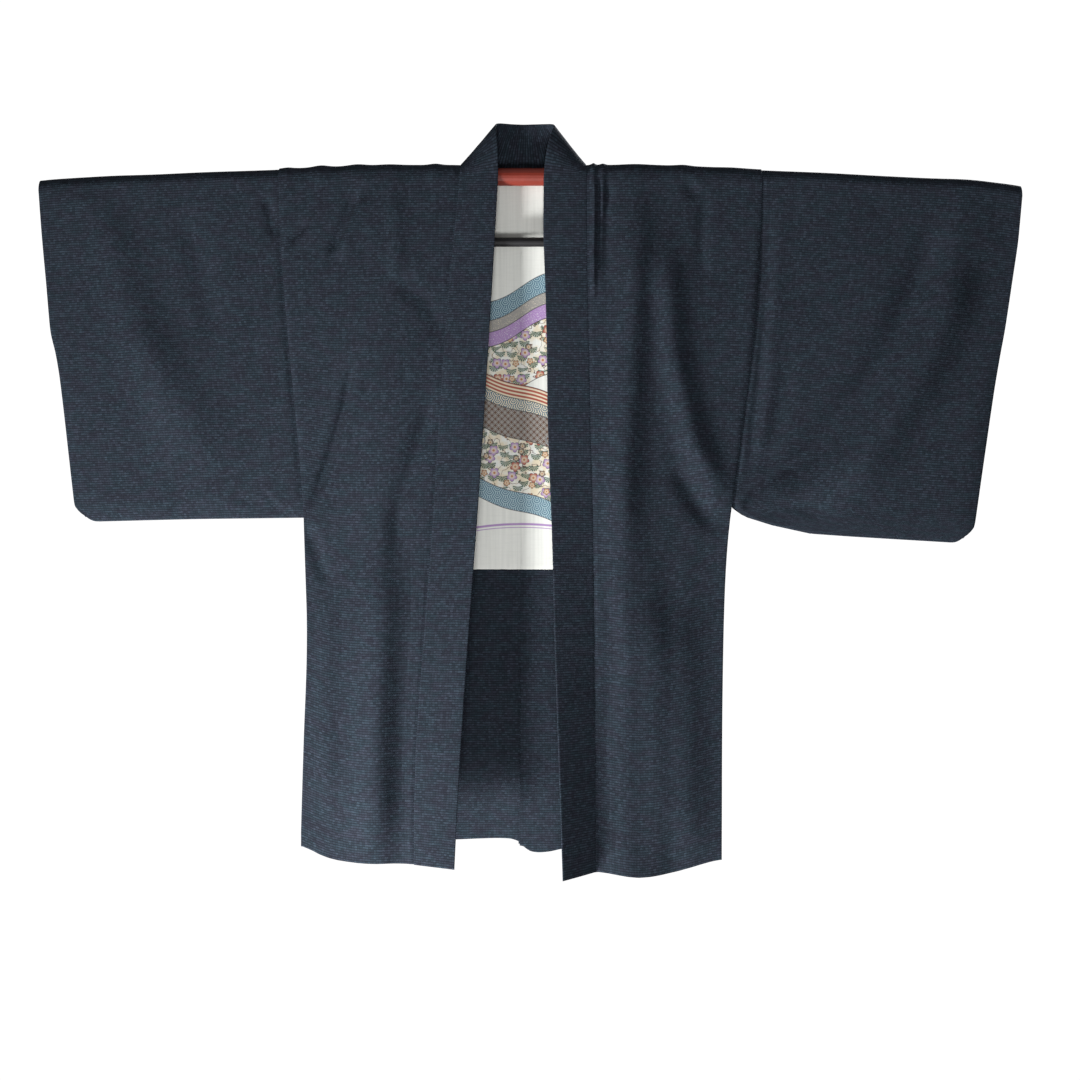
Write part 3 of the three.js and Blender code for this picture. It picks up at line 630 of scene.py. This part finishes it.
def collar(material):
    """One folded band, up the left front, round the neck and down the right front."""
    form = Form("collar")

    def neck(side):
        rows = NECK_ROWS[side]
        return np.array([[(side * o * MM, y * MM, z * MM) for o, y, z in row] for row in rows])

    middle = np.array([[[c * MM for c in p] for p in NECK_MIDDLE]])
    left, right = collar_line(form, -1), collar_line(form, 1)
    for line, side in ((left, -1), (right, 1)):
        hem_seam = form.ends(line[0, 0, 0] - side * 0.002, FORWARD)[0]
        hem_free = form.ends(line[0, 1, 0] + side * 0.003, FORWARD)[0]
        drop = np.linspace(1, 0, len(line)) ** 6
        line[:, 0, 2] -= (line[0, 0, 2] - hem_seam) * drop
        line[:, 1, 2] -= (line[0, 1, 2] - hem_free) * drop
    path = np.concatenate([left, neck(-1), middle, neck(1)[::-1], right[::-1]])
    centre = path.mean(axis=1)
    gone = np.concatenate([[0], np.cumsum(np.linalg.norm(np.diff(centre, axis=0), axis=1))])
    places = shares(gone[-1], step=3.2 * MM, rim=BAND / 2) * gone[-1]
    even = np.linspace(0, gone[-1], 700)
    fine = smooth(read_along(even, gone, path), 1.8)
    rows = read_along(places, even, fine)
    v = shares(0.06, step=3.0 * MM, rim=BAND / 2)[None, :, None]
    outer = rows[:, None, 0] * (1 - v) + rows[:, None, 1] * v
    normal = unit(np.cross(np.gradient(outer, axis=1), np.gradient(outer, axis=0)))
    if normal[5, 5, 1] > 0:
        normal = -normal
    crown = 0.9 * MM * np.sin(np.pi * v) ** 0.6
    wave = relief(outer[..., 0], -outer[..., 2], FORWARD)[..., None]
    wave = wave * (1 - 0.6 * v)
    on_front = np.clip(-outer[..., 2:3] / 0.1, 0, 1)
    outer = outer + normal * (crown + wave * on_front)
    level = 0 * outer[..., 0]
    uv = np.stack([v[..., 0] * 0.06 + level, places[:, None] + level], axis=-1)
    return cloth("collar_cloth", outer, uv, BAND, material, (0, -1, 0))


# ---- Materials ----


INPUTS = {
    "colour": "Base Color",
    "roughness": "Roughness",
    "specular": "Specular IOR Level",
    "sheen": "Sheen Weight",
    "sheen_roughness": "Sheen Roughness",
    "sheen_tint": "Sheen Tint",
    "coat": "Coat Weight",
    "coat_roughness": "Coat Roughness",
}


class Nodes:
    """A procedural material under construction."""

    def __init__(self, name):
        self.material = bpy.data.materials.new(name)
        self.material.use_nodes = True
        self.tree = self.material.node_tree
        self.surface = self.tree.nodes["Principled BSDF"]

    def link(self, source, target):
        if isinstance(source, (int, float)):
            target.default_value = source
        elif isinstance(source, tuple):
            target.default_value = (*source, 1.0)
        else:
            self.tree.links.new(source, target)

    def add(self, kind, **settings):
        node = self.tree.nodes.new(kind)
        for key, value in settings.items():
            setattr(node, key, value)
        return node

    def math(self, operation, *inputs):
        node = self.add("ShaderNodeMath", operation=operation)
        for value, socket in zip(inputs, node.inputs):
            self.link(value, socket)
        return node.outputs[0]

    def mix(self, share, first, second):
        node = self.add("ShaderNodeMix", data_type="RGBA")
        self.link(share, node.inputs["Factor"])
        self.link(first, node.inputs["A"])
        self.link(second, node.inputs["B"])
        return node.outputs["Result"]

    def ramp(self, value, low, high):
        node = self.add("ShaderNodeMapRange", clamp=True)
        self.link(value, node.inputs["Value"])
        node.inputs["From Min"].default_value = low
        node.inputs["From Max"].default_value = high
        return node.outputs["Result"]

    def noise(self, vector, scale, detail=2.0):
        node = self.add("ShaderNodeTexNoise", noise_dimensions="3D")
        self.link(vector, node.inputs["Vector"])
        node.inputs["Scale"].default_value = scale
        node.inputs["Detail"].default_value = detail
        return node.outputs["Fac"]

    def combine(self, x, y, z=0.0):
        node = self.add("ShaderNodeCombineXYZ")
        for value, socket in zip((x, y, z), node.inputs):
            self.link(value, socket)
        return node.outputs[0]

    def cell(self, vector):
        node = self.add("ShaderNodeTexWhiteNoise", noise_dimensions="2D")
        self.link(vector, node.inputs["Vector"])
        return node.outputs["Value"]

    def uv(self):
        node = self.add("ShaderNodeUVMap", uv_map="cloth")
        split = self.add("ShaderNodeSeparateXYZ")
        self.link(node.outputs[0], split.inputs[0])
        return split.outputs[0], split.outputs[1]

    def place(self):
        return self.add("ShaderNodeTexCoord").outputs["Object"]

    def bump(self, height, distance, strength=1.0):
        node = self.add("ShaderNodeBump")
        node.inputs["Distance"].default_value = distance
        node.inputs["Strength"].default_value = strength
        self.link(height, node.inputs["Height"])
        self.link(node.outputs[0], self.surface.inputs["Normal"])

    def set(self, **values):
        for key, value in values.items():
            self.link(value, self.surface.inputs[INPUTS[key]])


def off_middle(n, value):
    """How far a value lies from the middle of the whole step that it is in."""
    return n.math("ABSOLUTE", n.math("SUBTRACT", n.math("FRACT", value), 0.5))


def navy_weave():
    """Navy cloth whose weft shows as rows of short, uneven dashes, in patches of teal and purple."""
    n = Nodes("outer_cloth")
    u, v = n.uv()
    pitch = 3.3 * MM
    sway = n.noise(n.combine(n.math("MULTIPLY", u, 1.0), n.math("MULTIPLY", v, 1.6)), 62.0, 1.0)
    sway = n.math("MULTIPLY", n.math("SUBTRACT", sway, 0.5), 0.5)
    rows = n.math("ADD", n.math("DIVIDE", v, pitch), sway)
    row = n.math("FLOOR", rows)
    shift = n.math("MULTIPLY", n.cell(n.combine(row, 3.0)), 0.4)
    along = n.math("ADD", n.math("DIVIDE", u, pitch * 1.15), shift)
    column = n.math("FLOOR", along)
    chance = n.cell(n.combine(column, row))
    tone = n.cell(n.combine(n.math("ADD", column, 91.0), row))
    in_row = off_middle(n, rows)
    ends = n.math("ADD", n.math("MULTIPLY", n.ramp(off_middle(n, along), 0.5, 0.32), 0.5), 0.5)
    ends = n.math("MAXIMUM", ends, n.ramp(chance, 0.4, 0.8))
    weft = n.math("ADD", n.math("MULTIPLY", n.ramp(in_row, 0.46, 0.2), 0.85), 0.15)
    dash = n.math("MULTIPLY", weft, ends)
    dash = n.math("MULTIPLY", dash, n.math("ADD", n.math("MULTIPLY", chance, 0.45), 0.6))
    warp = n.ramp(off_middle(n, n.math("DIVIDE", u, 1.9 * MM)), 0.5, 0.2)
    dash = n.math("MULTIPLY", dash, n.math("ADD", n.math("MULTIPLY", warp, 0.4), 0.6))
    thread = n.noise(n.combine(n.math("MULTIPLY", u, 0.5), v), 700.0)
    patches = n.noise(n.combine(u, n.math("MULTIPLY", v, 1.7)), 42.0, 3.0)
    broad = n.noise(n.combine(u, v), 11.0, 2.0)
    tint = n.mix(n.ramp(patches, 0.4, 0.6), (0.040, 0.045, 0.073), (0.031, 0.060, 0.083))
    tint = n.mix(n.math("MULTIPLY", tone, 0.6), tint, (0.051, 0.071, 0.099))
    ground = n.mix(n.ramp(broad, 0.35, 0.65), (0.0030, 0.0040, 0.0070), (0.0050, 0.0064, 0.0102))
    cover = n.math("MULTIPLY", dash, n.math("ADD", n.math("MULTIPLY", tone, 0.32), 0.42))
    colour = n.mix(cover, ground, tint)
    colour = n.mix(n.math("MULTIPLY", n.ramp(thread, 0.35, 0.75), 0.3), colour, (0.008, 0.010, 0.015))
    height = n.math("ADD", dash, n.math("MULTIPLY", thread, 0.5))
    n.bump(height, 0.00025, 0.8)
    n.set(colour=colour, roughness=0.88, specular=0.18, sheen=0.06, sheen_roughness=0.4,
          sheen_tint=(0.55, 0.65, 0.85))
    return n.material


def silk_lining():
    """Off-white silk, with faint streaks in its weave and a woven rib."""
    n = Nodes("lining_silk")
    u, v = n.uv()
    streak = n.noise(n.combine(u, n.math("MULTIPLY", v, 0.03)), 260.0)
    slub = n.noise(n.combine(n.math("MULTIPLY", u, 0.1), v), 420.0)
    colour = n.mix(n.ramp(streak, 0.3, 0.7), (0.70, 0.712, 0.672), (0.785, 0.795, 0.752))
    colour = n.mix(n.math("MULTIPLY", n.ramp(slub, 0.45, 0.75), 0.12), colour, (0.5, 0.5, 0.47))
    colour = printed(n, u, v, colour)
    n.bump(n.math("ADD", streak, slub), 0.00012, 0.5)
    n.set(colour=colour, roughness=0.5, specular=0.4, sheen=0.25, sheen_roughness=0.3,
          sheen_tint=(1.0, 1.0, 0.97))
    return n.material


INK = (0.035, 0.032, 0.035)
CREAM = (0.70, 0.62, 0.46)
TEAL = (0.045, 0.13, 0.20)
PALE_BLUE = (0.33, 0.46, 0.50)
STONE = (0.30, 0.29, 0.27)
LILAC = (0.36, 0.22, 0.46)
RUST = (0.36, 0.075, 0.045)
OCHRE = (0.42, 0.19, 0.07)
BROWN = (0.11, 0.055, 0.033)
PINE = (0.055, 0.115, 0.075)


def between(n, value, low, high, soft=0.35):
    """1 inside a range and 0 outside, in millimetres."""
    rise = n.ramp(value, low - soft, low + soft)
    fall = n.ramp(value, high + soft, high - soft)
    return n.math("MULTIPLY", rise, fall)


def waves(n, x, y, pitch):
    """Seigaiha: rows of overlapping fans of rings. The result is 1 on the ink lines."""
    half = pitch / 2
    row_height = pitch / 4

    def fan(row_shift):
        row = n.math("ADD", n.math("FLOOR", n.math("DIVIDE", y, row_height)), float(row_shift))
        odd = n.math("MULTIPLY", n.math("FLOORED_MODULO", row, 2.0), 0.5)
        across = n.math("FRACT", n.math("ADD", n.math("DIVIDE", x, pitch), odd))
        dx = n.math("MULTIPLY", n.math("SUBTRACT", across, 0.5), pitch)
        dy = n.math("SUBTRACT", y, n.math("MULTIPLY", row, row_height))
        return n.math("SQRT", n.math("ADD", n.math("MULTIPLY", dx, dx), n.math("MULTIPLY", dy, dy)))

    near, middle, far = fan(0), fan(-1), fan(-2)
    first = n.math("LESS_THAN", near, half)
    second = n.math("LESS_THAN", middle, half)
    rest = n.math("ADD", n.math("MULTIPLY", second, middle),
                  n.math("MULTIPLY", n.math("SUBTRACT", 1.0, second), far))
    away = n.math("ADD", n.math("MULTIPLY", first, near),
                  n.math("MULTIPLY", n.math("SUBTRACT", 1.0, first), rest))
    return n.ramp(off_middle(n, n.math("DIVIDE", away, pitch / 8)), 0.18, 0.3)


def rings(n, x, y, pitch):
    """Shippo: interlaced circles. The result is 1 on the ink lines."""
    lines = 0.0
    for shift in (0.0, 0.5):
        dx, dy = (
            n.math("SUBTRACT", n.math("FRACT", n.math("ADD", n.math("DIVIDE", at, pitch), shift)), 0.5)
            for at in (x, y)
        )
        away = n.math("SQRT", n.math("ADD", n.math("MULTIPLY", dx, dx), n.math("MULTIPLY", dy, dy)))
        on = n.ramp(n.math("ABSOLUTE", n.math("SUBTRACT", away, 0.47)), 0.07, 0.03)
        lines = n.math("MAXIMUM", on, lines)
    return lines


def scattered(n, x, y, spacing, seed):
    """The nearest of some scattered places: the distance to it, the angle round it and its chance."""
    node = n.add("ShaderNodeTexVoronoi", voronoi_dimensions="2D")
    node.inputs["Scale"].default_value = 1.0
    node.inputs["Randomness"].default_value = 0.75
    at = n.combine(n.math("ADD", n.math("DIVIDE", x, spacing), seed), n.math("DIVIDE", y, spacing))
    n.link(at, node.inputs["Vector"])
    apart = n.add("ShaderNodeVectorMath", operation="SUBTRACT")
    n.link(at, apart.inputs[0])
    n.link(node.outputs["Position"], apart.inputs[1])
    split = n.add("ShaderNodeSeparateXYZ")
    n.link(apart.outputs[0], split.inputs[0])
    angle = n.math("ARCTAN2", split.outputs[0], split.outputs[1])
    away = n.math("MULTIPLY", node.outputs["Distance"], spacing)
    return away, angle, n.cell(node.outputs["Position"])


def flowers(n, x, y, ground, spacing, radius, seed, first, second):
    """Five-petalled blossoms in two colours, outlined, with light centres."""
    away, angle, chance = scattered(n, x, y, spacing, seed)
    lobes = n.math("ABSOLUTE", n.math("COSINE", n.math("MULTIPLY", angle, 2.5)))
    edge = n.math("MULTIPLY", n.math("ADD", n.math("MULTIPLY", lobes, 0.34), 0.66), radius)
    inside = n.math("SUBTRACT", edge, away)
    petals = n.mix(n.ramp(chance, 0.48, 0.52), first, second)
    petals = n.mix(n.ramp(away, radius * 0.75, radius * 0.2), petals, CREAM)
    petals = n.mix(n.ramp(away, radius * 0.26, radius * 0.2), petals, OCHRE)
    colour = n.mix(n.ramp(inside, -0.2, 0.2), ground, INK)
    return n.mix(n.ramp(inside, 0.4, 0.7), colour, petals)


def sprigs(n, x, y, ground, spacing, radius, seed, colour):
    """Fans of needles, as on a pine twig."""
    away, angle, _ = scattered(n, x, y, spacing, seed)
    needles = n.ramp(n.math("ABSOLUTE", n.math("SINE", n.math("MULTIPLY", angle, 7.0))), 0.25, 0.55)
    upper = n.ramp(n.math("COSINE", angle), -0.35, -0.15)
    mask = n.math("MULTIPLY", n.math("MULTIPLY", needles, upper), n.ramp(away, radius, radius * 0.9))
    return n.mix(mask, ground, colour)


def twigs(n, x, y, ground):
    wander = n.noise(n.combine(x, y, 4.0), 0.055, 2.0)
    line = n.ramp(n.math("ABSOLUTE", n.math("SUBTRACT", wander, 0.5)), 0.012, 0.006)
    return n.mix(line, ground, BROWN)


def printed(n, u, v, silk):
    """A print of slanting mist bands: waves, interlaced rings, blossoms and pine."""
    x = n.math("MULTIPLY", u, 1000.0)
    y = n.math("MULTIPLY", v, -1000.0)
    sway = n.math("MULTIPLY", n.math("SINE", n.math("DIVIDE", x, 17.0)), 4.5)
    level = n.math("ADD", n.math("ADD", y, n.math("MULTIPLY", x, 0.42)), sway)
    rising = n.math("ADD", n.math("SUBTRACT", y, n.math("MULTIPLY", x, 0.34)),
                    n.math("MULTIPLY", sway, 0.6))
    wave_lines = waves(n, x, y, 22.0)
    meadow = n.mix(n.ramp(n.noise(n.combine(x, y, 9.0), 0.09, 3.0), 0.42, 0.6), CREAM, silk)
    meadow = twigs(n, x, y, meadow)
    meadow = sprigs(n, x, y, meadow, 15.0, 7.5, 31.0, PINE)
    blooms = flowers(n, x, y, meadow, 24.0, 7.6, 3.0, RUST, LILAC)
    blooms = flowers(n, x, y, blooms, 27.0, 5.0, 17.0, OCHRE, BROWN)
    ring_lines = rings(n, x, y, 9.0)
    stripes = n.ramp(off_middle(n, n.math("DIVIDE", rising, 5.2)), 0.2, 0.27)
    specks = n.ramp(n.noise(n.combine(x, y, 2.0), 0.9, 1.0), 0.62, 0.68)
    fills = [
        (level, 150.0, 176.0, n.mix(wave_lines, PALE_BLUE, TEAL)),
        (level, 176.0, 192.0, n.mix(specks, STONE, CREAM)),
        (level, 192.0, 212.0, n.mix(specks, LILAC, silk)),
        (level, 212.0, 290.0, blooms),
        (rising, 286.0, 306.0, n.mix(stripes, CREAM, RUST)),
        (rising, 306.0, 322.0, n.mix(wave_lines, CREAM, TEAL)),
        (rising, 322.0, 362.0, n.mix(ring_lines, BROWN, STONE)),
        (rising, 362.0, 436.0, blooms),
        (rising, 436.0, 462.0, n.mix(wave_lines, TEAL, PALE_BLUE)),
    ]
    colour = silk
    for value, low, high, fill in fills:
        colour = n.mix(between(n, value, low - 0.6, high + 0.6), colour, INK)
        colour = n.mix(between(n, value, low + 0.4, high - 0.4), colour, fill)
    within = n.math("SUBTRACT", 150.0, n.math("ABSOLUTE", x))
    colour = n.mix(n.ramp(within, 0.0, 1.0), silk, colour)
    bow = n.math("ADD", y, n.math("MULTIPLY", n.math("MULTIPLY", x, x), -0.0012))
    colour = n.mix(between(n, bow, 478.0, 481.0), colour, LILAC)
    return n.mix(between(n, bow, 483.5, 484.6), colour, LILAC)


def loop_cord():
    n = Nodes("loop_cord")
    fibre = n.noise(n.place(), 900.0)
    colour = n.mix(n.ramp(fibre, 0.3, 0.7), (0.16, 0.17, 0.18), (0.3, 0.31, 0.32))
    n.bump(fibre, 0.0002)
    n.set(colour=colour, roughness=0.8, specular=0.2)
    return n.material


def lacquer(name, dark, light, roughness):
    n = Nodes(name)
    brush = n.noise(n.place(), 38.0, 4.0)
    fine = n.noise(n.place(), 260.0)
    n.bump(fine, 0.00003, 0.4)
    n.set(colour=n.mix(n.ramp(brush, 0.35, 0.65), dark, light), roughness=roughness, specular=0.25,
          coat=0.06, coat_roughness=0.25)
    return n.material


# ---- The floor and the lights ----

FLOOR = -2.8
FLOOR_WIDE, FLOOR_DEEP = 3.2, 2.6  # half its size each way


def make_stage():
    mesh = bpy.data.meshes.new("floor")
    signs = ((-1, -1), (1, -1), (1, 1), (-1, 1))
    corners = [(a * FLOOR_WIDE, b * FLOOR_DEEP, FLOOR) for a, b in signs]
    mesh.from_pydata(corners, [], [(0, 1, 2, 3)])
    n = Nodes("floor")
    grain = n.noise(n.place(), 6.0)
    n.set(colour=n.mix(grain, (0.86, 0.86, 0.86), (0.9, 0.9, 0.9)), roughness=0.9, specular=0.1)
    mesh.materials.append(n.material)
    floor = link_object("floor", mesh)


# name, place, what it aims at, size, power, and the spread of its beam in degrees
LIGHTS = [
    ("key", (-1.25, -0.88, -1.9), (-0.05, 0, -0.6), 0.4, 42, 120),
    ("front", (-0.05, -2.6, -1.5), (0, 0, -0.6), 0.6, 18, 120),
    ("top", (-0.6, -0.6, 2.4), (0, 0.2, -0.8), 1.6, 7, 180),
    ("back", (2.3, 1.9, 0.9), (0, 0, -0.5), 0.8, 75, 120),
]


def area_light(name, place, aim, size, power, spread):
    data = bpy.data.lights.new(name, "AREA")
    data.size = size
    data.energy = power
    data.spread = math.radians(spread)
    light = bpy.data.objects.new(name, data)
    light.location = place
    light.rotation_euler = (Vector(aim) - Vector(place)).to_track_quat("-Z", "Y").to_euler()
    bpy.context.scene.collection.objects.link(light)


def make_world():
    """Pale before and behind the jacket, and a soft grey at its sides."""
    world = bpy.data.worlds.new("studio")
    world.use_nodes = True
    tree = world.node_tree
    place = tree.nodes.new("ShaderNodeTexCoord")
    split = tree.nodes.new("ShaderNodeSeparateXYZ")
    tree.links.new(place.outputs["Generated"], split.inputs[0])
    colour = (0.1, 0.095, 0.095, 1)
    for starts, ends, pale in ((0.7, 0.88, 1.06), (-0.86, -0.95, 0.5)):
        share = tree.nodes.new("ShaderNodeMapRange")
        share.inputs["From Min"].default_value = starts
        share.inputs["From Max"].default_value = ends
        mix = tree.nodes.new("ShaderNodeMix")
        mix.data_type = "RGBA"
        mix.inputs["B"].default_value = (pale, pale, pale, 1)
        tree.links.new(split.outputs["Y"], share.inputs["Value"])
        tree.links.new(share.outputs["Result"], mix.inputs["Factor"])
        if isinstance(colour, tuple):
            mix.inputs["A"].default_value = colour
        else:
            tree.links.new(colour, mix.inputs["A"])
        colour = mix.outputs["Result"]
    tree.links.new(colour, tree.nodes["Background"].inputs["Color"])
    bpy.context.scene.world = world


def make_lights():
    make_world()
    bpy.context.scene.view_settings.view_transform = "Standard"
    for light in LIGHTS:
        area_light(*light)


# ---- The whole part ----


def declare(piece, node, slot, flat, **sheet):
    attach(piece, "root")
    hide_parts(node)


def main():
    make_camera()
    make_lights()
    make_stage()
    outer_cloth, silk, cord = navy_weave(), silk_lining(), loop_cord()
    red = lacquer("red_lacquer", (0.165, 0.021, 0.012), (0.21, 0.028, 0.016), 0.42)
    black = lacquer("black_lacquer", (0.005, 0.005, 0.006), (0.009, 0.009, 0.011), 0.5)
    for side, hand in ((-1, "left"), (1, "right")):
        piece = body_panel(f"body_{hand}", side, outer_cloth)
        declare(piece, f"body_{hand}", "outer_cloth", (0.334, 1.9), held="hung",
                rests_on=["hanger_rod"])
        piece = sleeve(f"sleeve_{hand}", side, outer_cloth)
        declare(piece, f"sleeve_{hand}", "outer_cloth", (0.35, 0.98), held="hung",
                rests_on=["hanger_rod"])
        piece = gusset(f"gusset_{hand}", side, outer_cloth)
        declare(piece, f"gusset_{hand}", "outer_cloth", (0.065, 0.47), held="hung", area=0.0209,
                rests_on=[f"body_{hand}_cloth"])
        piece = back_layer(f"facing_{hand}", side, CLOTH, outer_cloth, 0.0)
        declare(piece, f"facing_{hand}", "outer_cloth", (0.3, 0.38), held="hung",
                rests_on=[f"body_{hand}_cloth"])
        piece = back_layer(f"lining_{hand}", side, SILK, silk, 6 * MM)
        declare(piece, f"lining_{hand}", "lining_silk", (0.33, 0.54), held="hung",
                rests_on=[f"body_{hand}_cloth"])
    piece = collar(outer_cloth)
    declare(piece, "collar", "outer_cloth", (0.06, 2.15), held="folded", rests_on=["hanger_rod"])
    kept = {"hanger_rod": red, "hanger_bar": black}
    for hand in ("left", "right"):
        kept[f"hanger_link_{hand}"] = black
        kept[f"tie_loop_{hand}"] = cord
    for node, material in kept.items():
        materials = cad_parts[node].data.materials
        materials.clear()
        materials.append(material)


main()
